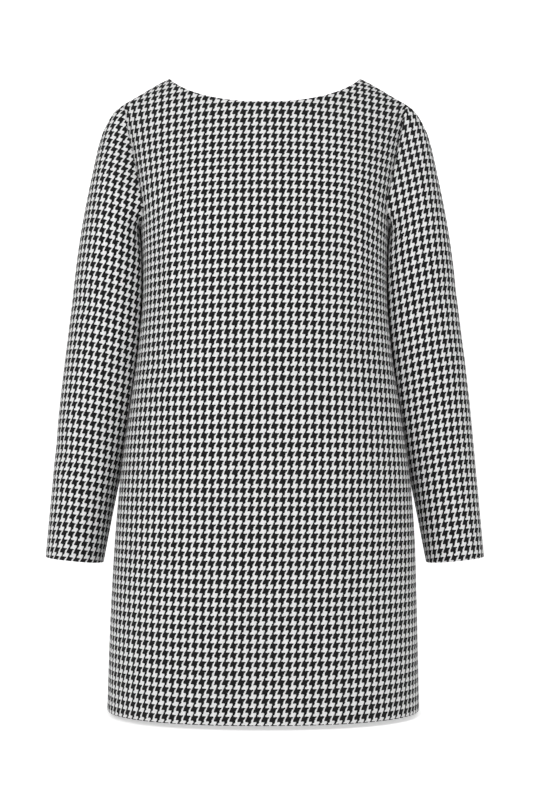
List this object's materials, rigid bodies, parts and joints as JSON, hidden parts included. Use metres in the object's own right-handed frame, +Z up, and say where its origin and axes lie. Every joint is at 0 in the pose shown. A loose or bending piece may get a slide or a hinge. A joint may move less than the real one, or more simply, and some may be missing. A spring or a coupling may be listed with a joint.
{
  "type": "shift dress",
  "caption": "Long-sleeved shift dress in black and off-white houndstooth cloth, with a wide boat neck and set-in sleeves, filled out as when worn.",
  "frame": {"origin": "midway between the two neck points, where the shoulder seams meet the neckline and the wearer's shoulders carry the dress", "axes": "+Z up, -Y towards the front of the dress, +X towards the wearer's left"},
  "size_m": [0.585, 0.2534, 0.83],
  "materials": {
    "houndstooth_cloth": "matte woven houndstooth check in near-black and off-white"
  },
  "bodies": {
    "root": {"front": "houndstooth_cloth", "back": "houndstooth_cloth", "sleeve_left": "houndstooth_cloth", "sleeve_right": "houndstooth_cloth"}
  },
  "joints": []
}
